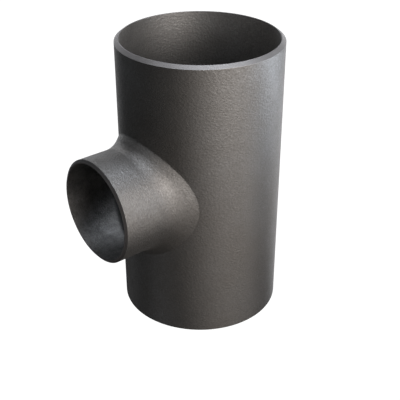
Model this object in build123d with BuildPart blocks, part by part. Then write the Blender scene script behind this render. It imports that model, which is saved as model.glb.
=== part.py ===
from build123d import *
from math import cos, pi, radians, sqrt, tan
import os

# A reducing butt weld tee, DN 125 x DN 80: one piece, formed from seamless
# steel tube, with its three ends machined for welding. Millimetres. The run
# stands along Z, the branch points along +X, and the origin is where the two
# axes cross, half way up the run.

# --- driving dimensions ------------------------------------------------------
RUN_OD = 139.7          # outside diameter of the run
RUN_WALL = 4.0
RUN_LENGTH = 248.0      # end to end, twice the centre-to-end of 124
BRANCH_OD = 88.9        # outside diameter of the branch
BRANCH_WALL = 3.2
BRANCH_REACH = 111.0    # from the run's axis to the branch's end face

BEVEL_ANGLE = 37.5      # weld bevel, measured from the end plane
RUN_ROOT_FACE = 0.8     # flat ring left inside the bevel
BRANCH_ROOT_FACE = 1.2
BORE_EDGE = 0.3         # broken edge inside each end

FLARE_R = 53.4          # the flare meets the run this far from the branch axis
FLARE_RISE = 7.8        # how far past the run's wall it climbs on the branch
FLARE_BLEND = 12.0      # concave radius from the flare into the branch
CREASE_BLEND = 2.0      # small radius left in the crease between run and flare
CROTCH_RADIUS = 15.0    # rounding inside, where the branch bore leaves the run bore

FLARE_STATIONS = 48     # points round the branch axis that carry the flare
FLARE_FOOT = 38.0       # plane inside the run from which the flare is drawn up
FLARE_HEAD = 81.0       # plane inside the branch where it ends

run_r = RUN_OD / 2
run_bore_r = run_r - RUN_WALL
branch_r = BRANCH_OD / 2
branch_bore_r = branch_r - BRANCH_WALL
half = RUN_LENGTH / 2

run_bevel = RUN_WALL - RUN_ROOT_FACE
run_bevel_height = run_bevel * tan(radians(BEVEL_ANGLE))
branch_bevel = BRANCH_WALL - BRANCH_ROOT_FACE
branch_bevel_height = branch_bevel * tan(radians(BEVEL_ANGLE))


# --- the flare's shape -------------------------------------------------------
# Its foot is a circle of radius FLARE_R, seen along the branch, pressed onto
# the round wall of the run. From there straight flanks lean in to the branch,
# which they meet FLARE_RISE above the line where the bare branch would leave
# the run.
def run_wall_x(rho, phi):
    """X of the run's outside at distance rho from the branch axis, angle phi round it."""
    return sqrt(run_r**2 - (rho * cos(phi)) ** 2)


def flank_rho(x, phi):
    """Distance of the flank from the branch axis, in the plane at x."""
    foot = run_wall_x(FLARE_R, phi)
    head = run_wall_x(branch_r, phi) + FLARE_RISE
    return FLARE_R + (x - foot) * (FLARE_R - branch_r) / (foot - head)


def flare_outline(x):
    """Closed outline of the flare in the plane at x, as an edge for a sketch."""
    turn = [2 * pi * i / FLARE_STATIONS for i in range(FLARE_STATIONS)]
    points = [Vector(flank_rho(x, phi), 0).rotate(Axis.Z, phi * 180 / pi) for phi in turn]
    steps = [i / FLARE_STATIONS for i in range(FLARE_STATIONS + 1)]
    return Edge.make_spline(points, periodic=True, parameters=steps)


def from_branch_axis(edge):
    """Least and greatest distance of an edge from the branch axis."""
    reach = [Vector(0, (edge @ t).Y, (edge @ t).Z).length for t in (0.1, 0.3, 0.5, 0.7, 0.9)]
    return min(reach), max(reach)


def runs_at(edge, radius):
    """True when the whole edge keeps this distance from the branch axis."""
    low, high = from_branch_axis(edge)
    return edge.geom_type != GeomType.LINE and radius - 0.02 < low and high < radius + 0.02


with BuildPart() as tee_body:
    # the run's outside, with a weld bevel at each end
    with BuildSketch(Plane.XZ):
        with BuildLine():
            Polyline(
                (0, -half),
                (run_r - run_bevel, -half),
                (run_r, -half + run_bevel_height),
                (run_r, half - run_bevel_height),
                (run_r - run_bevel, half),
                (0, half),
                close=True,
            )
        make_face()
    revolve(axis=Axis.Z)

    # the branch's outside, out of the run's side, with its own bevel
    with BuildSketch(Plane.XZ):
        with BuildLine():
            Polyline(
                (0, 0),
                (0, branch_r),
                (BRANCH_REACH - branch_bevel_height, branch_r),
                (BRANCH_REACH, branch_r - branch_bevel),
                (BRANCH_REACH, 0),
                close=True,
            )
        make_face()
    revolve(axis=Axis.X)

    # the flare, drawn from an oval inside the run to a smaller one inside the branch
    with BuildSketch(Plane.YZ.offset(FLARE_FOOT)):
        with BuildLine():
            add(flare_outline(FLARE_FOOT))
        make_face()
    with BuildSketch(Plane.YZ.offset(FLARE_HEAD)):
        with BuildLine():
            add(flare_outline(FLARE_HEAD))
        make_face()
    loft(ruled=True)

    # it runs out into the branch in a concave sweep, and leaves a crease on the run
    fillet(
        tee_body.edges().filter_by(lambda e: runs_at(e, branch_r) and (e @ 0.5).X < FLARE_HEAD),
        FLARE_BLEND,
    )
    fillet(tee_body.edges().filter_by(lambda e: runs_at(e, FLARE_R)), CREASE_BLEND)

    # the two bores, one into the other
    with BuildSketch(Plane.XY.offset(-half)):
        Circle(run_bore_r)
    extrude(amount=RUN_LENGTH, mode=Mode.SUBTRACT)
    with BuildSketch(Plane.YZ):
        Circle(branch_bore_r)
    extrude(amount=BRANCH_REACH, mode=Mode.SUBTRACT)

    # the wall is rounded inside, where it was drawn outwards into the branch
    fillet(
        tee_body.edges().filter_by(
            lambda e: runs_at(e, branch_bore_r) and (e @ 0.5).X < run_bore_r + 1
        ),
        CROTCH_RADIUS,
    )

    # the sharp edge inside each end is broken
    chamfer(
        tee_body.edges()
        .filter_by(GeomType.CIRCLE)
        .filter_by(
            lambda e: (abs(e.radius - run_bore_r) < 0.01 and abs(abs(e.center().Z) - half) < 0.01)
            or (abs(e.radius - branch_bore_r) < 0.01 and abs(e.center().X - BRANCH_REACH) < 0.01)
        ),
        BORE_EDGE,
    )

tee_body.part.label = "tee_body"

os.makedirs("parts", exist_ok=True)
export_step(tee_body.part, "parts/tee_body.step")
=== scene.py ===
import json
import math

import bmesh
import bpy
import numpy as np
from mathutils import Matrix, Vector


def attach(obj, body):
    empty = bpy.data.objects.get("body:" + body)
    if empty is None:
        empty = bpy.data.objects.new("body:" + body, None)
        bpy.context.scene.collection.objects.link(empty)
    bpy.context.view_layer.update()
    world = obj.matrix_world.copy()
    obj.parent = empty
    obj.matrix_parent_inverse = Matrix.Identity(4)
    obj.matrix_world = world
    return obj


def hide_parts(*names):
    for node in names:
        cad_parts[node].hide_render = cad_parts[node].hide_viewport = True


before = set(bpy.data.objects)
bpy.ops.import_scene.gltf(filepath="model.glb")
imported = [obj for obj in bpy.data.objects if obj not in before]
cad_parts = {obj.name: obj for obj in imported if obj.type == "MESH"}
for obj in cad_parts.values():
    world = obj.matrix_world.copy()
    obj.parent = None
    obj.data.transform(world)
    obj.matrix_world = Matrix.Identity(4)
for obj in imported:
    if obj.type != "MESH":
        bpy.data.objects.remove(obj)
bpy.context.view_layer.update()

# ---------------------------------------------------------------------------
# Sizes in millimetres, the same as the CAD model's: the run lies along Z, the
# branch along +X, and the origin is where their axes cross.
# ---------------------------------------------------------------------------
RUN_R, RUN_BORE, RUN_HALF = 69.85, 65.85, 124.0
BRANCH_R, BRANCH_BORE, REACH = 44.45, 41.25, 111.0
RUN_BEVEL = (3.2, 2.456)  # across the wall, along the axis: 37.5 degrees
BRANCH_BEVEL = (2.0, 1.535)
FLARE_R, FLARE_RISE, CREASE_BLEND = 53.4, 7.8, 2.0
BLEND_CROWN, BLEND_SIDE = 0.495, 0.79  # how much of the flank the sweep into the branch takes
CROTCH = 15.0
EDGE_OUT, EDGE_ROOT, EDGE_BORE = 0.28, 0.16, 0.3  # how far each edge is softened

# Mesh density: points round the branch, and round half of the run
ROUND, SIDE = 384, 100
FRONT = ROUND // 2 - SIDE


def bend(a, b, c, radius, steps):
    """The corner b of a line a-b-c replaced by an arc, as steps + 1 points."""
    a, b, c = (np.asarray(p, float) for p in (a, b, c))
    u, v = (a - b) / np.linalg.norm(a - b), (c - b) / np.linalg.norm(c - b)
    half = math.acos(np.clip(u @ v, -1, 1)) / 2
    cut = radius / math.tan(half)
    middle = b + (u + v) / np.linalg.norm(u + v) * radius / math.sin(half)
    p, q = b + u * cut - middle, b + v * cut - middle
    whole = math.acos(np.clip(p @ q / radius**2, -1, 1))
    t = np.linspace(0, 1, steps + 1)[:, None]
    return middle + (np.sin((1 - t) * whole) * p + np.sin(t * whole) * q) / math.sin(
        whole
    )


def between(a, b, steps):
    """The points inside the line a-b, without its ends."""
    t = np.linspace(0, 1, steps + 1)[1:-1, None]
    return np.asarray(a) * (1 - t) + np.asarray(b) * t


def weld_end(outer, bore, bevel, end, inset):
    """The profile of a bevelled end as (radius, along) points, from the outside wall to the bore. Every edge is slightly rounded."""
    start = (outer, end - bevel[1] - inset)
    shoulder = (outer, end - bevel[1])
    root = (outer - bevel[0], end)
    inner = (bore, end)
    stop = (bore, end - inset)
    first = bend(start, shoulder, root, EDGE_OUT, 4)
    second = bend(shoulder, root, inner, EDGE_ROOT, 3)
    third = bend(root, inner, stop, EDGE_BORE, 5)
    return np.concatenate(
        [
            first,
            between(first[-1], second[0], 5),
            second,
            between(second[-1], third[0], 2),
            third,
        ]
    )


PROFILE_RUN = weld_end(RUN_R, RUN_BORE, RUN_BEVEL, RUN_HALF, 2.0)
PROFILE_BRANCH = weld_end(BRANCH_R, BRANCH_BORE, BRANCH_BEVEL, REACH, 2.0)

angle = 2 * math.pi * np.arange(ROUND + 1) / ROUND  # round the branch axis
cos_a, sin_a = np.cos(angle), np.sin(angle)


def on_branch(rho, x, i):
    return np.stack([x, rho * cos_a[i], rho * sin_a[i]], -1)


def wall_x(rho, i):
    return math.sqrt(RUN_R**2 - (rho * cos_a[i]) ** 2)


def outer_section(i):
    """The outside from the run's wall over the flare and the branch to the bevel, in the plane at this angle round the branch, as (rho, x) points."""
    foot = np.array([FLARE_R, wall_x(FLARE_R, i)])
    head = np.array([BRANCH_R, wall_x(BRANCH_R, i) + FLARE_RISE])
    up = np.array([BRANCH_R, REACH])
    slope = wall_x(FLARE_R + 0.5, i) - wall_x(FLARE_R - 0.5, i)
    outward = foot + np.array([1.0, slope]) * 5
    crease = bend(outward, foot, head, CREASE_BLEND, 6)
    crease[0, 1] = wall_x(crease[0, 0], i)  # it starts on the wall itself
    # the sweep is tight at the crown, 12 mm, and opens out towards the sides
    flank = np.linalg.norm(head - foot)
    lean = math.acos((head - foot)[1] / flank)
    share = BLEND_CROWN + (BLEND_SIDE - BLEND_CROWN) * abs(cos_a[i])
    blend = bend(foot, head, up, share * (flank - 0.8) / math.tan(lean / 2), 20)
    return np.concatenate(
        [
            crease,
            between(crease[-1], blend[0], 8),
            blend,
            between(blend[-1], PROFILE_BRANCH[0], 18),
            PROFILE_BRANCH,
        ]
    )


def inner_section(i):
    """The inside from the branch's mouth to the run's bore, in millimetres: the bore, then the rounded edge that a ball rolling inside the wall leaves."""
    c, s = cos_a[i], sin_a[i]
    mid_r, mid_run = BRANCH_BORE + CROTCH, RUN_BORE + CROTCH
    x = math.sqrt(mid_run**2 - (mid_r * c) ** 2)
    centre = np.array([x, mid_r * c, mid_r * s])
    to_branch = -np.array([0.0, c, s])
    to_run = -np.array([x, mid_r * c, 0.0]) / mid_run
    whole = math.acos(to_branch @ to_run)
    t = np.linspace(0, 1, 13)[:, None]
    arc = centre + CROTCH * (
        np.sin((1 - t) * whole) * to_branch + np.sin(t * whole) * to_run
    ) / math.sin(whole)
    mouth = np.array([PROFILE_BRANCH[-1, 1], BRANCH_BORE * c, BRANCH_BORE * s])
    return np.concatenate([[mouth], between(mouth, arc[0], 16), arc])


def around_opening(oval, radius, half, layers, power):
    """The wall of the run round the branch's opening: from the opening's edge to a frame half way round the run and half long. It is laid out on the unrolled wall, so that every point is on it."""
    theta, z = np.arctan2(oval[:, 1], oval[:, 0]), oval[:, 2]
    quarter = math.pi / 2
    up = np.linspace(0, 1, SIDE // 2 + 1)[:-1]
    over = np.linspace(1, -1, FRONT + 1)[:-1]
    down = np.linspace(1, -1, SIDE + 1)[:-1]
    frame_t = np.concatenate(
        [
            np.full(SIDE // 2, quarter),
            quarter * over,
            np.full(SIDE, -quarter),
            -quarter * over,
            np.full(SIDE // 2 + 1, quarter),
        ]
    )
    frame_z = half * np.concatenate(
        [up, np.ones(FRONT), down, -np.ones(FRONT), up - 1, [0.0]]
    )
    share = (np.arange(layers + 1) / layers)[:, None] ** power
    t = theta * (1 - share) + frame_t * share
    h = z * (1 - share) + frame_z * share
    return np.stack([radius * np.cos(t), radius * np.sin(t), h], -1), np.stack(
        [radius * t, h], -1
    )


def tube_back(radius, half):
    """The half of the run's wall away from the branch."""
    t = math.pi / 2 + math.pi * np.arange(FRONT + 1) / FRONT
    z = half * np.linspace(-1, 1, SIDE + 1)
    t, z = np.meshgrid(t, z, indexing="ij")
    return np.stack([radius * np.cos(t), radius * np.sin(t), z], -1), np.stack(
        [radius * t, z], -1
    )


def arc_lengths(points):
    steps = np.linalg.norm(np.diff(points, axis=0), axis=2)
    return np.concatenate([np.zeros((1, points.shape[1])), np.cumsum(steps, 0)])


OUTSIDE, INSIDE, MACHINED_RUN, MACHINED_BRANCH = range(4)
patches = []  # (points, places on the map, material of each row of faces)


def patch(points, places, looks):
    looks = np.full(len(points) - 1, looks) if np.isscalar(looks) else looks
    patches.append((points, places, looks))


outer = np.stack([on_branch(*outer_section(i).T, i) for i in range(ROUND + 1)], 1)
inner = np.stack([inner_section(i) for i in range(ROUND + 1)], 1)

wall_half = PROFILE_RUN[0, 1]
bore_half = PROFILE_RUN[-1, 1]
points, places = around_opening(outer[0], RUN_R, wall_half, 30, 1.25)
patch(points, places + [110, 124], OUTSIDE)
points, places = tube_back(RUN_R, wall_half)
patch(points, places + [110, 124], OUTSIDE)
points, places = around_opening(inner[-1], RUN_BORE, bore_half, 28, 1.25)
patch(points, places + [104, 374], INSIDE)
points, places = tube_back(RUN_BORE, bore_half)
patch(points, places + [104, 374], INSIDE)

# Flare, branch and its bevel: laid out by angle and by length along the section
along = arc_lengths(outer)
places = np.stack([453 + along, np.broadcast_to(angle * 50, along.shape)], -1)
cut = len(outer) - len(PROFILE_BRANCH)  # the first row of the bevelled end
looks = np.full(len(outer) - 1, OUTSIDE)
looks[cut + 4 :] = MACHINED_BRANCH
patch(outer, places, looks)

# Branch bore and the rounded edge where it meets the run's bore
along = arc_lengths(inner)
places = np.stack(
    [np.broadcast_to(4 + angle * 41, along.shape), 503 + 0.8 * along], -1
)
patch(inner, places, INSIDE)

# The run's two ends
turn = math.pi / 2 + 2 * math.pi * np.arange(2 * FRONT + 1) / (2 * FRONT)
along = np.concatenate(
    [[0], np.cumsum(np.linalg.norm(np.diff(PROFILE_RUN, axis=0), axis=1))]
)
for side in (1, -1):
    r, z = PROFILE_RUN[:, :1], PROFILE_RUN[:, 1:]
    points = np.stack(
        [r * np.cos(turn), r * np.sin(turn), side * z + 0 * turn], -1
    )
    # the ring's strip is cut in two, one above the other, to fit the map
    for k in range(2):
        part = slice(k * FRONT, (k + 1) * FRONT + 1)
        u = (turn[part] - turn[part][0]) * 68
        places = np.stack(
            [
                np.broadcast_to(272 + u, (len(r), FRONT + 1)),
                np.broadcast_to(
                    (504 + k * 14 + (side < 0) * 7 + along)[:, None],
                    (len(r), FRONT + 1),
                ),
            ],
            -1,
        )
        looks = np.full(len(PROFILE_RUN) - 1, MACHINED_RUN)
        looks[:4] = OUTSIDE
        patch(points[:, part], places, looks)

# ---------------------------------------------------------------------------
# One closed mesh from the patches: points that coincide are shared.
# ---------------------------------------------------------------------------
MAP = 560.0  # millimetres across the texture map
all_points = np.concatenate([p.reshape(-1, 3) for p, _, _ in patches])
keys = np.round(all_points, 4)
_, first, index = np.unique(keys, axis=0, return_index=True, return_inverse=True)
index = index.ravel()
places_mm = all_points[first]
faces, uvs, looks_of = [], [], []
base = 0
for points, places, looks in patches:
    rows, columns = points.shape[:2]
    grid = np.arange(base, base + rows * columns).reshape(rows, columns)
    quads = np.stack(
        [grid[:-1, :-1], grid[:-1, 1:], grid[1:, 1:], grid[1:, :-1]], -1
    ).reshape(-1, 4)
    flat = np.asarray(places, float).reshape(-1, 2) / MAP
    faces.append(index[quads])
    uvs.append(flat[quads - base])
    looks_of.append(np.repeat(looks, columns - 1))
    base += rows * columns
faces, uvs, looks_of = map(np.concatenate, (faces, uvs, looks_of))


mesh = bpy.data.meshes.new("tee_body_visual")
mesh.from_pydata((places_mm * 0.001).tolist(), [], faces.tolist())
layer = mesh.uv_layers.new(name="OFBake")
layer.data.foreach_set("uv", uvs.reshape(-1).astype(np.float32))
mesh.polygons.foreach_set("material_index", looks_of.astype(np.int32))
tee = bpy.data.objects.new("reducing_tee", mesh)
bpy.context.scene.collection.objects.link(tee)
work = bmesh.new()
work.from_mesh(mesh)
bmesh.ops.recalc_face_normals(work, faces=work.faces)
work.to_mesh(mesh)
open_edges = sum(not e.is_manifold for e in work.edges)
volume = work.calc_volume(signed=True)
work.free()
print(
    "TEE",
    json.dumps(
        {
            "vertices": len(mesh.vertices),
            "faces": len(mesh.polygons),
            "open_edges": open_edges,
            "volume_cc": round(volume * 1e6, 3),
        }
    ),
)

# Smooth shading with normals weighted by area, so that the flat bevels stay
# flat beside their narrow rounded edges.
mesh.polygons.foreach_set("use_smooth", np.ones(len(mesh.polygons), bool))
n_faces, n_points = len(mesh.polygons), len(mesh.vertices)
face_normal = np.empty(n_faces * 3)
mesh.polygons.foreach_get("normal", face_normal)
face_normal = face_normal.reshape(-1, 3)
face_area = np.empty(n_faces)
mesh.polygons.foreach_get("area", face_area)
corner_vertex = np.empty(len(mesh.loops), np.int32)
mesh.loops.foreach_get("vertex_index", corner_vertex)
corner_vertex = corner_vertex.reshape(-1, 4)
normal = np.zeros((n_points, 3))
for k in range(4):
    np.add.at(normal, corner_vertex[:, k], face_normal * face_area[:, None])
normal /= np.linalg.norm(normal, axis=1)[:, None]
mesh.normals_split_custom_set_from_vertices(normal.tolist())

# ---------------------------------------------------------------------------
# Materials
# ---------------------------------------------------------------------------


class Nodes:
    """Short names for building a node tree."""

    def __init__(self, name):
        self.material = bpy.data.materials.new(name)
        self.material.use_nodes = True
        self.tree = self.material.node_tree
        self.tree.nodes.clear()

    def add(self, kind, **values):
        node = self.tree.nodes.new(kind)
        for key, value in values.items():
            setattr(node, key, value)
        return node

    def link(self, a, b):
        self.tree.links.new(a, b)
        return b

    def put(self, socket, value):
        if hasattr(value, "is_output") or isinstance(value, bpy.types.NodeSocket):
            self.tree.links.new(value, socket)
        else:
            socket.default_value = value

    def math(self, operation, a, b=0.0, c=None, clamp=False):
        node = self.add("ShaderNodeMath", operation=operation, use_clamp=clamp)
        self.put(node.inputs[0], a)
        self.put(node.inputs[1], b)
        if c is not None:
            self.put(node.inputs[2], c)
        return node.outputs[0]

    def noise(self, vector, scale, detail=2.0, rough=0.5, distortion=0.0):
        node = self.add("ShaderNodeTexNoise")
        self.put(node.inputs["Vector"], vector)
        node.inputs["Scale"].default_value = scale
        node.inputs["Detail"].default_value = detail
        node.inputs["Roughness"].default_value = rough
        node.inputs["Distortion"].default_value = distortion
        return node.outputs["Fac"]

    def voronoi(self, vector, scale, feature="F1", smooth=None, out="Distance"):
        node = self.add("ShaderNodeTexVoronoi", feature=feature)
        self.put(node.inputs["Vector"], vector)
        node.inputs["Scale"].default_value = scale
        if smooth is not None:
            node.inputs["Smoothness"].default_value = smooth
        return node.outputs[out]

    def span(self, value, low, high, to_low=0.0, to_high=1.0, smooth=False):
        node = self.add(
            "ShaderNodeMapRange",
            interpolation_type="SMOOTHSTEP" if smooth else "LINEAR",
            clamp=True,
        )
        self.put(node.inputs["Value"], value)
        node.inputs["From Min"].default_value = low
        node.inputs["From Max"].default_value = high
        node.inputs["To Min"].default_value = to_low
        node.inputs["To Max"].default_value = to_high
        return node.outputs["Result"]

    def mix(self, factor, a, b, blend="MIX"):
        node = self.add("ShaderNodeMix", data_type="RGBA", blend_type=blend)
        self.put(node.inputs["Factor"], factor)
        self.put(node.inputs["A"], a)
        self.put(node.inputs["B"], b)
        return node.outputs["Result"]


def grey(value, tint=(1.0, 1.0, 1.0)):
    return (value * tint[0], value * tint[1], value * tint[2], 1.0)


def plus(m, *values):
    total = values[0]
    for value in values[1:]:
        total = m.math("ADD", total, value)
    return total


def blend(m, factor, a, b):
    return m.math("MULTIPLY_ADD", m.math("SUBTRACT", b, a), factor, a)


def drawn_round(m, apart, axis, by):
    """Coordinates in which a pattern's marks are wider round a pipe than along its axis (0 for X, 2 for Z)."""
    joined = m.add("ShaderNodeCombineXYZ")
    for k in range(3):
        value = apart.outputs[k]
        m.put(joined.inputs[k], m.math("MULTIPLY", value, by) if k == axis else value)
    return joined.outputs[0]


def branch_and_flare(m, apart):
    """Four masks: the branch, by the distance to its axis, the flare, by the height above the run's wall, and two bands
    of painted highlight on the flare's upper side: the shoulder, just above its foot, and the crown.
    """
    x, y, z = (apart.outputs[k] for k in range(3))
    across = m.math("MULTIPLY", y, y)
    rho = m.math("SQRT", m.math("ADD", across, m.math("MULTIPLY", z, z)))
    ahead = m.span(x, 0.030, 0.040)
    branch = m.math(
        "MULTIPLY", ahead, m.span(rho, 0.0455, 0.0500, 1.0, 0.0, smooth=True)
    )
    wall = m.math(
        "SQRT",
        m.math("MAXIMUM", m.math("SUBTRACT", (RUN_R * 1e-3) ** 2, across), 0.0),
    )
    above = m.math("SUBTRACT", x, wall)
    flare = m.math(
        "MULTIPLY",
        m.span(rho, 0.0535, 0.0550, 1.0, 0.0, smooth=True),
        m.span(above, 0.008, 0.024, 1.0, 0.0, smooth=True),
    )
    # a band of painted highlight just above the flare's foot, on its upper side only
    shoulder = m.math(
        "MULTIPLY",
        m.span(rho, 0.0486, 0.0512, smooth=True),
        m.span(rho, 0.0522, 0.0536, 1.0, 0.0, smooth=True),
    )
    shoulder = m.math("MULTIPLY", shoulder, m.span(z, -0.010, 0.014, 0.0, 1.0))
    # at the crown the band of painted highlight reaches further in
    crown_highlight = m.math(
        "MULTIPLY",
        m.span(rho, 0.0462, 0.0482, smooth=True),
        m.span(rho, 0.0488, 0.0532, 1.0, 0.0, smooth=True),
    )
    crown_highlight = m.math("MULTIPLY", crown_highlight, m.span(z, 0.030, 0.044, 0.0, 1.0, smooth=True))
    return (
        branch,
        m.math("MULTIPLY", ahead, flare),
        m.math("MULTIPLY", ahead, shoulder),
        m.math("MULTIPLY", ahead, crown_highlight),
    )


def worn_edges(m, apart, grain, width):
    """1 along the sharp outer edges of the three bevels, broken up by the grain, and 0 away from them."""
    up = m.math("ABSOLUTE", apart.outputs[2])
    run = m.math("ABSOLUTE", m.math("SUBTRACT", up, (RUN_HALF - RUN_BEVEL[1]) * 1e-3))
    branch = m.math(
        "ABSOLUTE",
        m.math("SUBTRACT", apart.outputs[0], (REACH - BRANCH_BEVEL[1]) * 1e-3),
    )
    near = m.span(m.math("MINIMUM", run, branch), 0.0, width, 1.0, 0.0, smooth=True)
    return m.math("MULTIPLY", near, m.span(grain, 0.35, 0.6, 0.25, 1.0))


def blasted_steel(name, inside):
    """Dark steel, shot-blasted to a fine even grain. The run's bore is a little lighter than the outside, with painted
    light towards its open ends, the branch's a little darker.
    """
    m = Nodes(name)
    at = m.add("ShaderNodeTexCoord").outputs["Object"]
    apart = m.add("ShaderNodeSeparateXYZ")
    m.link(at, apart.inputs[0])
    branch, flare, shoulder, crown_highlight = branch_and_flare(m, apart)
    round_run = drawn_round(m, apart, 2, 1.15 if inside else 1.4)
    round_branch = drawn_round(m, apart, 0, 1.8)
    # broad mottling left by forming and heat treatment
    broad = m.noise(at, 24, 3, 0.55)
    patchy = m.noise(at, 110, 4, 0.6)
    # the blasted grain: dimples a millimetre or two across, a little wider
    # round each pipe than along it, over a finer tooth
    grain = blend(
        m, branch, m.noise(round_run, 560, 3, 0.6), m.noise(round_branch, 560, 3, 0.6)
    )
    pits = blend(
        m,
        branch,
        m.voronoi(round_run, 480, "SMOOTH_F1", 0.35),
        m.voronoi(round_branch, 480, "SMOOTH_F1", 0.35),
    )
    tooth = m.noise(at, 2400, 2, 0.5)
    flecks = m.noise(at, 1250, 1, 0.5)
    colour = m.mix(
        m.span(broad, 0.3, 0.7),
        grey(BASE * 0.95, (1.02, 1.0, 0.975)),
        grey(BASE * 1.12, (0.995, 1.0, 1.005)),
    )
    colour = m.mix(
        m.span(patchy, 0.35, 0.75, 0.0, 0.30), colour, grey(BASE * 0.86, (1.03, 1.0, 0.96))
    )
    colour = m.mix(
        m.span(grain, 0.36, 0.64, 0.0, GRAIN_COLOUR), colour, grey(BASE * 0.62, (1.04, 1.0, 0.95))
    )
    colour = m.mix(
        m.span(flecks, 0.62, 0.74, 0.0, 0.30), colour, grey(BASE * 1.5)
    )
    if inside:
        away = m.math(
            "SQRT",
            plus(
                m,
                m.math("MULTIPLY", apart.outputs[0], apart.outputs[0]),
                m.math("MULTIPLY", apart.outputs[1], apart.outputs[1]),
            ),
        )
        # painted light: the run's bore is lighter towards its open ends, where light falls in
        run_bore_painted_light = m.mix(
            m.span(m.math("ABSOLUTE", apart.outputs[2]), 0.074, 0.112),
            m.mix(1.0, colour, grey(1.15), "MULTIPLY"),
            m.mix(1.0, colour, grey(1.80), "MULTIPLY"),
        )
        # the branch's bore keeps more of the dark scale, in blotches; the crotch between
        # the two bores is darkened further as painted shade
        scale = m.span(m.noise(at, 120, 4, 0.65, 0.4), 0.36, 0.64, smooth=True)
        branch_bore = m.mix(
            scale,
            m.mix(1.0, colour, grey(0.76), "MULTIPLY"),
            m.mix(1.0, colour, grey(1.06), "MULTIPLY"),
        )
        crotch_painted_shade = m.mix(1.0, colour, grey(0.34), "MULTIPLY")
        colour = m.mix(
            m.span(away, 0.0660, 0.0668, smooth=True),
            run_bore_painted_light,
            m.mix(m.span(away, 0.0745, 0.0790, smooth=True), crotch_painted_shade, branch_bore),
        )
    else:
        # painted highlight on the flare's upper shoulder and on its crown; beyond
        # them, where the wall was drawn out, the flare is pitted
        colour = m.mix(shoulder, colour, m.mix(1.0, colour, grey(1.28), "MULTIPLY"))
        colour = m.mix(crown_highlight, colour, m.mix(1.0, colour, grey(1.32), "MULTIPLY"))
        holes = m.noise(at, 430, 3, 0.65)
        colour = m.mix(
            m.math("MULTIPLY", flare, m.span(holes, 0.54, 0.68, 0.0, 0.30)),
            colour,
            grey(BASE * 0.4, (1.04, 1.0, 0.95)),
        )
        colour = m.mix(
            m.math(
                "MULTIPLY",
                worn_edges(m, apart, grain, 0.0006),
                m.span(branch, 0.0, 1.0, 0.4, 0.1),
            ),
            colour,
            grey(0.40),
        )
    shader = m.add("ShaderNodeBsdfPrincipled")
    shader.inputs["Metallic"].default_value = 1.0
    m.put(shader.inputs["Base Color"], colour)
    m.put(
        shader.inputs["Roughness"],
        plus(
            m,
            m.span(patchy, 0.3, 0.7, 0.52, 0.57),
            m.span(grain, 0.35, 0.65, -0.03, 0.03),
        ),
    )
    bump = m.add("ShaderNodeBump")
    bump.inputs["Strength"].default_value = 1.0
    bump.inputs["Distance"].default_value = GRAIN_DEPTH
    relief = plus(
        m,
        m.math("MULTIPLY", grain, 0.7),
        m.math("MULTIPLY", tooth, 0.15),
        m.math("MULTIPLY", pits, 0.5),
    )
    if inside:
        deeper = 1.15
    else:
        deeper = blend(m, flare, m.span(branch, 0.0, 1.0, 1.0, 1.7), 1.0)
    m.put(bump.inputs["Height"], m.math("MULTIPLY", relief, deeper))
    m.put(shader.inputs["Normal"], bump.outputs[0])
    out = m.add("ShaderNodeOutputMaterial")
    m.link(shader.outputs[0], out.inputs["Surface"])
    return m.material


def machined_steel(name, across, shade, face):
    """A turned bevel: fine rings about its axis. across names the two axes at right angles to that axis, shade is its
    reflectance, and its narrow end face is face times that, painted light on that face.
    """
    m = Nodes(name)
    at = m.add("ShaderNodeTexCoord").outputs["Object"]
    apart = m.add("ShaderNodeSeparateXYZ")
    m.link(at, apart.inputs[0])
    a, b = (apart.outputs["XYZ".index(k)] for k in across)
    radius = m.math(
        "SQRT", m.math("ADD", m.math("MULTIPLY", a, a), m.math("MULTIPLY", b, b))
    )
    ring = m.add("ShaderNodeCombineXYZ")
    m.link(radius, ring.inputs[0])
    lines = m.noise(ring.outputs[0], 5200, 3, 0.6)
    broad = m.noise(at, 60, 3, 0.5)
    grain = m.noise(at, 1400, 2, 0.5)
    colour = m.mix(
        m.span(broad, 0.3, 0.7),
        grey(shade, (1.05, 1.01, 1.0)),
        grey(shade * 1.2, (1.04, 1.01, 1.01)),
    )
    colour = m.mix(m.span(lines, 0.35, 0.65, 0.0, 0.35), colour, grey(shade * 0.85))
    # the narrow end face gets painted light, face times the bevel's colour
    if across == "XY":
        end = m.span(
            m.math("ABSOLUTE", apart.outputs[2]), (RUN_HALF - 0.3) * 1e-3, RUN_HALF * 1e-3
        )
    else:
        end = m.span(apart.outputs[0], (REACH - 0.3) * 1e-3, REACH * 1e-3)
    colour = m.mix(end, colour, m.mix(1.0, colour, grey(face), "MULTIPLY"))
    colour = m.mix(
        m.math("MULTIPLY", worn_edges(m, apart, grain, 0.0004), 0.6),
        colour,
        grey(shade * 1.5),
    )
    shader = m.add("ShaderNodeBsdfPrincipled")
    shader.inputs["Metallic"].default_value = 1.0
    m.put(shader.inputs["Base Color"], colour)
    m.put(
        shader.inputs["Roughness"],
        plus(
            m,
            m.span(lines, 0.3, 0.7, 0.56, 0.64),
            m.span(broad, 0.3, 0.7, -0.03, 0.03),
        ),
    )
    bump = m.add("ShaderNodeBump")
    bump.inputs["Strength"].default_value = 1.0
    bump.inputs["Distance"].default_value = 0.00002
    m.put(
        bump.inputs["Height"],
        plus(m, m.math("MULTIPLY", lines, 0.8), m.math("MULTIPLY", grain, 0.3)),
    )
    m.put(shader.inputs["Normal"], bump.outputs[0])
    out = m.add("ShaderNodeOutputMaterial")
    m.link(shader.outputs[0], out.inputs["Surface"])
    return m.material


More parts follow.
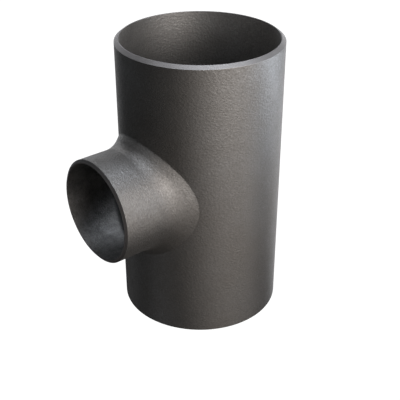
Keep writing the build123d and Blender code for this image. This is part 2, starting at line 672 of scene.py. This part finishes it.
BASE = 0.24  # reflectance of the blasted steel before its grain darkens it
GRAIN_COLOUR = 0.5  # how much of the grain shows as colour
GRAIN_DEPTH = 0.00019  # and how deep it is, in metres
mesh.materials.append(blasted_steel("blasted_steel_outside", False))
mesh.materials.append(blasted_steel("blasted_steel_inside", True))
mesh.materials.append(machined_steel("machined_steel_run", "XY", 0.28, 1.05))
# the branch's bevel has a lower reflectance than the run's as painted shade, and a lighter end face as painted light
mesh.materials.append(machined_steel("machined_steel_branch_painted_shade", "YZ", 0.17, 1.6))

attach(tee, "root")
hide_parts("tee_body")

# ---------------------------------------------------------------------------
# Camera at the photo's angle, and directions as it sees them
# ---------------------------------------------------------------------------
AZIMUTH = math.radians(50.2915)  # from the branch to the camera
RISE = math.radians(28.0017)
LOOK_DOWN = math.radians(29.984)
AWAY = 0.7339

cam_data = bpy.data.cameras.new("photo_camera")
cam_data.lens = 74.715
cam_data.sensor_width = 36.0
cam_data.clip_start, cam_data.clip_end = 0.05, 50.0
camera = bpy.data.objects.new("photo_camera", cam_data)
bpy.context.scene.collection.objects.link(camera)
toward = Vector((math.cos(AZIMUTH), math.sin(AZIMUTH), 0.0))
to_right = Vector((-math.sin(AZIMUTH), math.cos(AZIMUTH), 0.0))
camera.location = AWAY * (
    math.cos(RISE) * toward + math.sin(RISE) * Vector((0, 0, 1))
)
forward = -math.cos(LOOK_DOWN) * toward - math.sin(LOOK_DOWN) * Vector((0, 0, 1))
camera.rotation_euler = Matrix(
    (to_right, to_right.cross(forward), -forward)
).transposed().to_euler()
bpy.context.scene.camera = camera


def studio(psi, rise, distance, centre_z=0.0):
    """A place in the studio: psi degrees round to the camera's right, rise degrees up, seen from the tee."""
    p, e = math.radians(psi), math.radians(rise)
    flat = math.cos(p) * toward + math.sin(p) * to_right
    return distance * (math.cos(e) * flat + math.sin(e) * Vector((0, 0, 1))) + Vector(
        (0, 0, centre_z)
    )


def softbox(name, psi, rise, distance, side, watts, aim=Vector((0, 0, 0))):
    """A square softbox that faces the tee, or the point aim. watts is its power in red, green and blue."""
    data = bpy.data.lights.new(name, "AREA")
    data.shape = "SQUARE"
    data.size = side
    data.energy = max(watts)
    data.color = [w / max(watts) for w in watts]
    light = bpy.data.objects.new(name, data)
    light.location = studio(psi, rise, distance)
    light.rotation_euler = (aim - light.location).to_track_quat("-Z", "Y").to_euler()
    bpy.context.scene.collection.objects.link(light)
    return light


# A warm main light to the right of the camera, a cool one close by on the
# right, cool light from above and behind, and faint fill from the left
softbox("top", 0, 90, 1.0, 0.7, (2.96, 3.01, 3.14))
softbox("key", 30, 10, 1.0, 0.4, (3.11, 2.93, 2.81))
softbox("key_above", 40, 30, 1.0, 0.4, (2.96, 2.69, 2.48))
softbox("above_right", 60, 75, 1.0, 0.4, (1.39, 1.51, 1.66))
softbox("back_right", 150, 10, 1.0, 0.4, (1.43, 1.42, 1.45))
softbox("key_low", 60, -15, 1.0, 0.4, (1.22, 1.11, 1.01))
softbox("back_left_above", -150, 35, 1.0, 0.4, (0.930, 0.929, 0.948))
softbox("back_left", -150, 10, 1.0, 0.4, (0.879, 0.895, 0.932))
softbox("above_front", 10, 65, 1.0, 0.4, (0.823, 0.871, 0.939))
softbox("rim_above", 150, 60, 1.0, 0.4, (0.785, 0.851, 0.935))
softbox("back_right_low", 150, -15, 1.0, 0.4, (0.655, 0.655, 0.669))
softbox("back_right_under", 150, -40, 1.0, 0.4, (0.615, 0.633, 0.665))
softbox("rim_right", 120, 60, 1.0, 0.4, (0.562, 0.609, 0.669))
softbox("back_left_low", -150, -15, 1.0, 0.4, (0.425, 0.426, 0.437))
softbox("front_low_centre", 0, -15, 1.0, 0.4, (0.412, 0.373, 0.343))
softbox("front_low", 30, -15, 1.0, 0.4, (0.346, 0.311, 0.284))
softbox("front_under", 30, -40, 1.0, 0.4, (0.281, 0.253, 0.230))
softbox("close_right", 95, 10, 0.3, 0.12, (0.231, 0.250, 0.275))
softbox("left_under", -60, -40, 1.0, 0.4, (0.185, 0.189, 0.198))
softbox("near_right", 75, 5, 0.45, 0.25, (0.161, 0.175, 0.192))
softbox("near_right_under", 120, -20, 0.45, 0.25, (0.165, 0.156, 0.152))
softbox("back_left_under", -120, -40, 1.0, 0.4, (0.133, 0.134, 0.137))
softbox("close_right_above", 60, 35, 0.3, 0.06, (0.113, 0.110, 0.109))
softbox("near_left", -100, 5, 0.45, 0.25, (0.035, 0.037, 0.039))

# ---------------------------------------------------------------------------
# White surround and floor. They are seen by the camera only, so that the dark
# side of the tee stays as dark as in the photo.
# ---------------------------------------------------------------------------


def seen_only(obj):
    obj.visible_diffuse = False
    obj.visible_glossy = False
    obj.visible_transmission = False
    obj.visible_volume_scatter = False
    obj.visible_shadow = False


def white(name, strength):
    m = Nodes(name)
    glow = m.add("ShaderNodeEmission")
    glow.inputs["Color"].default_value = (1, 1, 1, 1)
    glow.inputs["Strength"].default_value = strength
    out = m.add("ShaderNodeOutputMaterial")
    m.link(glow.outputs[0], out.inputs["Surface"])
    return m.material


floor_mesh = bpy.data.meshes.new("floor")
side = 6.0
floor_mesh.from_pydata(
    [
        (-side, -side, -0.1241),
        (side, -side, -0.1241),
        (side, side, -0.1241),
        (-side, side, -0.1241),
    ],
    [],
    [(0, 1, 2, 3)],
)
floor = bpy.data.objects.new("floor", floor_mesh)
bpy.context.scene.collection.objects.link(floor)
floor_mesh.materials.append(white("floor_white", 1.1))
seen_only(floor)

dome_mesh = bpy.data.meshes.new("backdrop")
work = bmesh.new()
bmesh.ops.create_icosphere(work, subdivisions=3, radius=9.0)
work.to_mesh(dome_mesh)
work.free()
dome = bpy.data.objects.new("backdrop", dome_mesh)
bpy.context.scene.collection.objects.link(dome)
dome_mesh.materials.append(white("backdrop_white", 1.1))
seen_only(dome)

world = bpy.data.worlds.new("studio")
world.use_nodes = True
world.node_tree.nodes["Background"].inputs["Color"].default_value = (0.5, 0.5, 0.5, 1)
world.node_tree.nodes["Background"].inputs["Strength"].default_value = 0.004
bpy.context.scene.world = world
bpy.context.scene.view_settings.view_transform = "Standard"
bpy.context.scene.view_settings.look = "None"
